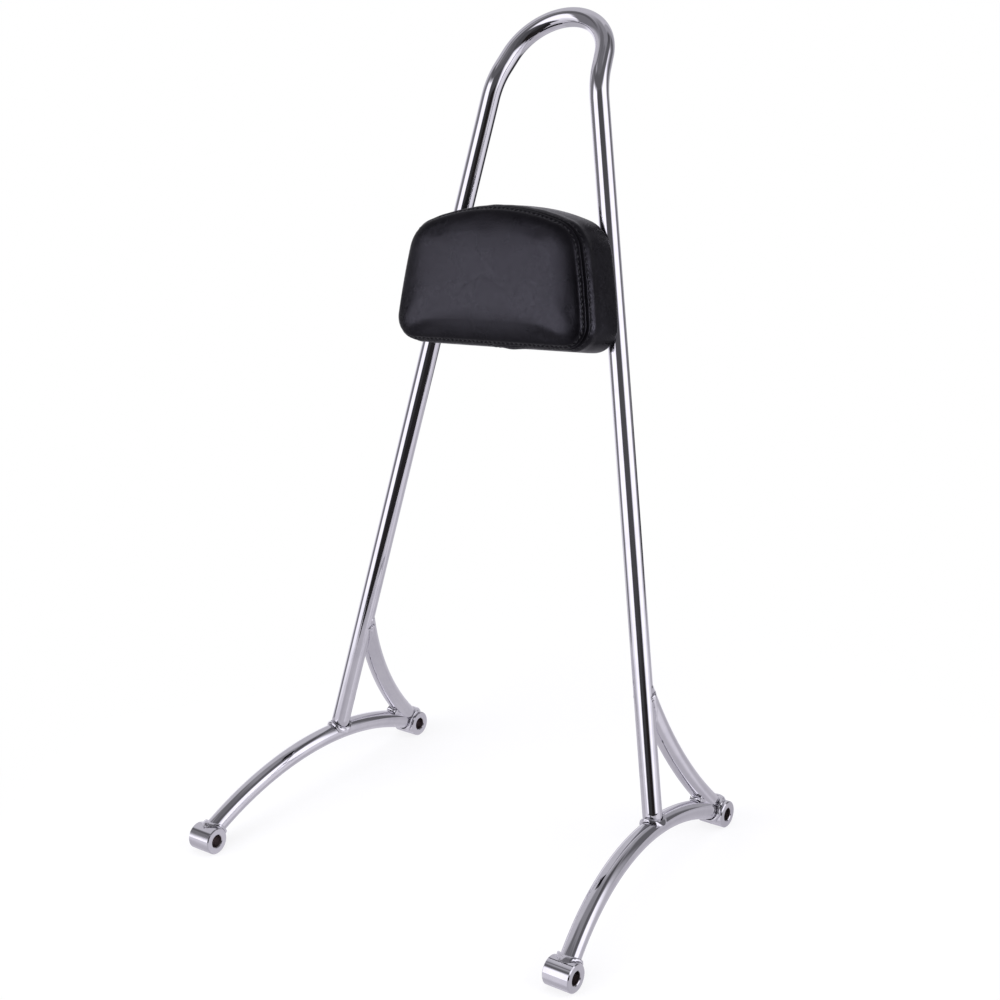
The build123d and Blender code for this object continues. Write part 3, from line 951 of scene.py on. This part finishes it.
def studio_world():
    """World: white behind the object; mirrors see walls, a grey ceiling, two soft boxes and a dark end."""
    world = bpy.data.worlds.new("studio")
    bpy.context.scene.world = world
    world.use_nodes = True
    tree = world.node_tree
    tree.nodes.clear()
    way = add(tree, "ShaderNodeTexCoord").outputs["Generated"]
    parts = add(tree, "ShaderNodeSeparateXYZ")
    tree.links.new(way, parts.inputs[0])
    forward = math_node(tree, "MULTIPLY", parts.outputs["Y"], -1.0)
    level = math_node(tree, "ARCTAN2", parts.outputs["X"], forward)
    azimuth = math_node(tree, "MULTIPLY", level, math.degrees(1.0))
    height = math_node(tree, "MULTIPLY", math_node(tree, "ARCSINE", parts.outputs["Z"]), math.degrees(1.0))
    lower = math_node(tree, "MINIMUM", math_node(tree, "SUBTRACT", height, SLANT_BELOW), 0.0)
    slanted = math_node(tree, "SUBTRACT", azimuth, math_node(tree, "MULTIPLY", lower, SLANT))

    def between(value, low, high, soft):
        """One inside a range, zero outside, with soft ends."""
        rise = map_range(tree, value, low - soft, low + soft)
        fall = map_range(tree, value, high - soft, high + soft, to_low=1.0, to_high=0.0)
        return math_node(tree, "MULTIPLY", rise, fall)

    def panel(colour, below, azimuths, heights, soft, turn=azimuth):
        """Patch of one colour over what is below it, with its ranges and their softness in degrees."""
        across = between(turn, *azimuths, soft[0])
        tall = between(height, *heights, soft[1])
        return mix_colour(tree, math_node(tree, "MULTIPLY", across, tall), below, colour)

    def grey(level):
        """Faintly lavender grey of the studio's walls and cards."""
        return (0.99 * level, 0.97 * level, 1.06 * level, 1.0)

    # Walls: pale, with a bright patch on the left and darker ones behind and at the front left
    room = mix_colour(tree, map_range(tree, height, -30.0, -22.0), grey(0.47), grey(0.54))
    room = panel(grey(0.92), room, (-150.0, -96.0), (-19.0, 5.0), (8.0, 5.0))
    room = panel(grey(0.36), room, (128.0, 200.0), (-8.0, 75.0), (4.0, 4.0))
    room = panel(grey(0.13), room, (139.0, 160.0), (-8.0, 38.0), (4.0, 5.0))
    room = panel(grey(0.085), room, (120.0, 158.0), (42.0, 64.0), (8.0, 6.0))
    room = panel(grey(0.19), room, (-84.0, -44.0), (-22.0, 42.0), (7.0, 5.0))

    # Ceiling: dark round its edge with one spill of light, then grey, and dimmer towards the front
    room = panel(grey(0.115), room, (-80.0, 128.0), (40.0, 70.0), (8.0, 3.0))
    room = panel(grey(0.4), room, (-68.0, -34.0), (53.0, 70.0), (6.0, 5.0))
    room = mix_colour(tree, map_range(tree, height, 60.0, 72.0), room, grey(0.265))
    room = panel(grey(0.16), room, (-95.0, 80.0), (62.0, 84.0), (15.0, 6.0))

    # Two soft boxes with their lower skirts
    room = panel(grey(0.85), room, (-44.0, 2.0), (-19.0, 0.0), (4.0, 3.0), slanted)
    room = panel(grey(1.22), room, (-43.5, 3.0), (-2.5, 35.5), (3.5, 2.5), slanted)
    room = panel(grey(0.8), room, (75.0, 131.0), (-24.0, 0.0), (7.0, 4.0))
    room = panel(grey(1.22), room, (75.0, 129.0), (-2.0, 36.5), (7.5, 2.5))

    # Dark end of the room, round the camera and behind on the right
    room = panel(grey(0.078), room, (5.0, 69.0), (-34.0, 42.0), (4.0, 3.0), slanted)
    room = panel(grey(0.038), room, (6.0, 68.0), (-34.0, 11.0), (5.0, 7.0), slanted)
    room = panel((0.0145, 0.0118, 0.0122, 1.0), room, (34.0, 67.0), (-34.0, 11.0), (7.0, 4.0))
    room = panel(grey(0.03), room, (145.0, 200.0), (-28.0, -9.0), (5.0, 4.0))
    room = panel(grey(0.06), room, (-200.0, -163.0), (-28.0, -11.0), (5.0, 4.0))
    rays = add(tree, "ShaderNodeLightPath").outputs
    mirrored = add(tree, "ShaderNodeBackground")
    tree.links.new(room, mirrored.inputs["Color"])
    soft_light = add(tree, "ShaderNodeBackground", {"Color": (0.97, 0.97, 1.0, 1.0), "Strength": 0.55})
    white = add(tree, "ShaderNodeBackground", {"Color": (1.0, 1.0, 1.0, 1.0), "Strength": 1.0})
    see_room = math_node(tree, "MAXIMUM", rays["Is Glossy Ray"], rays["Is Transmission Ray"])
    by_gloss = mix_shader(tree, see_room, soft_light, mirrored)
    by_camera = mix_shader(tree, rays["Is Camera Ray"], by_gloss, white)
    out = add(tree, "ShaderNodeOutputWorld")
    tree.links.new(by_camera.outputs[0], out.inputs["Surface"])


studio_world()


# Distances in metres over which the floor turns white to the camera, and how white it is before
SHADOW_NEAR, SHADOW_FAR = 0.22, 0.39
WHITE_SHARE = 0.78
FLOOR_DROP = 0.2 * MM


def floor_material(name, mirror_glow_low, mirror_glow_high, sheen):
    """Pale floor: white to the camera with the object's soft shadow kept; to mirrors a painted glow in
    place of its lit look, glazed with a real gloss.
    """
    mat, tree, shader, coords = new_material(name)
    shader.inputs["Base Color"].default_value = (0.95, 0.95, 0.96, 1.0)
    shader.inputs["Roughness"].default_value = 0.9
    shader.inputs["Specular IOR Level"].default_value = 0.1
    rays = add(tree, "ShaderNodeLightPath").outputs
    away = add(tree, "ShaderNodeVectorMath", operation="LENGTH")
    tree.links.new(coords, away.inputs[0])
    share = map_range(tree, away.outputs["Value"], SHADOW_NEAR, SHADOW_FAR, to_low=WHITE_SHARE, to_high=1.0)
    white = add(tree, "ShaderNodeEmission", {"Color": (1.0, 1.0, 1.0, 1.0), "Strength": 1.0})
    # Painted reflection: glossy rays see the floor glow with an emission tone that varies at random, not
    # the floor as lit
    mirrored = add(tree, "ShaderNodeEmission", {"Strength": 1.0})
    painted_mirror_glow = mix_colour(tree, noise_at(tree, coords, scale=5.0, detail=1.0), mirror_glow_low, mirror_glow_high)
    tree.links.new(painted_mirror_glow, mirrored.inputs["Color"])
    gloss = add(tree, "ShaderNodeBsdfGlossy", {"Color": (sheen, sheen, sheen, 1.0), "Roughness": 0.2})
    glazed = add(tree, "ShaderNodeAddShader")
    tree.links.new(mirrored.outputs[0], glazed.inputs[0])
    tree.links.new(gloss.outputs[0], glazed.inputs[1])
    seen = mix_shader(tree, share, shader, white)
    lit = mix_shader(tree, rays["Is Glossy Ray"], shader, glazed)
    mixed = mix_shader(tree, rays["Is Camera Ray"], lit, seen)
    tree.links.new(mixed.outputs[0], tree.nodes["Material Output"].inputs["Surface"])
    return mat


# Corners in metres: the table ends near the camera, where mirrors see a dark apron beyond it
TABLE = [(0.62, 0.1), (0.62, 0.62), (-0.42, 0.62), (-0.2, 0.15)]
TABLE += [(-0.6, -0.3), (-0.6, -1.2), (0.04, -1.2), (0.02, -0.62)]
APRON = [(0.02, -0.62), (0.06, -2.2), (2.2, -2.2), (2.2, -0.35), (0.85, -0.1), (0.62, 0.1)]
corners = [(x, y, 0.0) for x, y in TABLE + APRON]
outlines = [tuple(range(len(TABLE))), tuple(range(len(TABLE), len(corners)))]
# Painted reflections: the glow tones that mirrors see, pale on the table and nearly black on the apron
TABLE_MIRROR_GLOW = (0.35, 0.335, 0.38, 1.0), (0.55, 0.535, 0.585, 1.0)
APRON_MIRROR_GLOW = (0.013, 0.011, 0.012, 1.0), (0.026, 0.024, 0.026, 1.0)
table_top = floor_material("pale_floor", *TABLE_MIRROR_GLOW, sheen=0.22)
dark_end = floor_material("pale_floor_far", *APRON_MIRROR_GLOW, sheen=0.0)
floor = mesh_object("floor", corners, outlines, [table_top, dark_end], False)
floor.data.polygons[1].material_index = 1
floor.location.z = -FLOOR_DROP

# Lamps: three soft boxes for everything, and two whose sheen the pad alone shows
LAMP_TARGET = Vector((0.0, 0.0, 0.27))
LAMP_TINT = (0.97, 0.95, 1.06)


def soft_box(name, azimuth, elevation, distance, size, power, lit=()):
    """Area lamp aimed at the object's middle. One that lights named pieces alone also shows in them."""
    lamp = bpy.data.lights.new(name, "AREA")
    lamp.shape = "RECTANGLE"
    lamp.size, lamp.size_y = size
    lamp.energy = power
    lamp.color = LAMP_TINT
    obj = bpy.data.objects.new(name, lamp)
    way = direction(azimuth, elevation)
    obj.location = LAMP_TARGET + way * distance
    obj.rotation_euler = way.to_track_quat("Z", "Y").to_euler()
    obj.visible_glossy = bool(lit)
    obj.visible_camera = False
    bpy.context.scene.collection.objects.link(obj)
    if lit:
        only = bpy.data.collections.new(name + "_lights")
        for piece in lit:
            only.objects.link(piece)
        obj.light_linking.receiver_collection = only


soft_box("box_left", -28.0, 24.0, distance=1.6, size=(1.2, 1.0), power=16.0)
soft_box("box_right", 100.0, 26.0, distance=1.6, size=(1.2, 1.0), power=12.0)
soft_box("box_top", 20.0, 80.0, distance=1.8, size=(1.4, 1.4), power=12.0)
soft_box("box_pad", -31.5, 11.5, distance=1.594, size=(1.16, 1.0), power=20.0, lit=[cover, stitches])
soft_box("box_pad_side", 103.0, 2.0, distance=1.0, size=(0.32, 0.44), power=6.0, lit=[cover, stitches])

bpy.context.scene.view_settings.view_transform = "Standard"
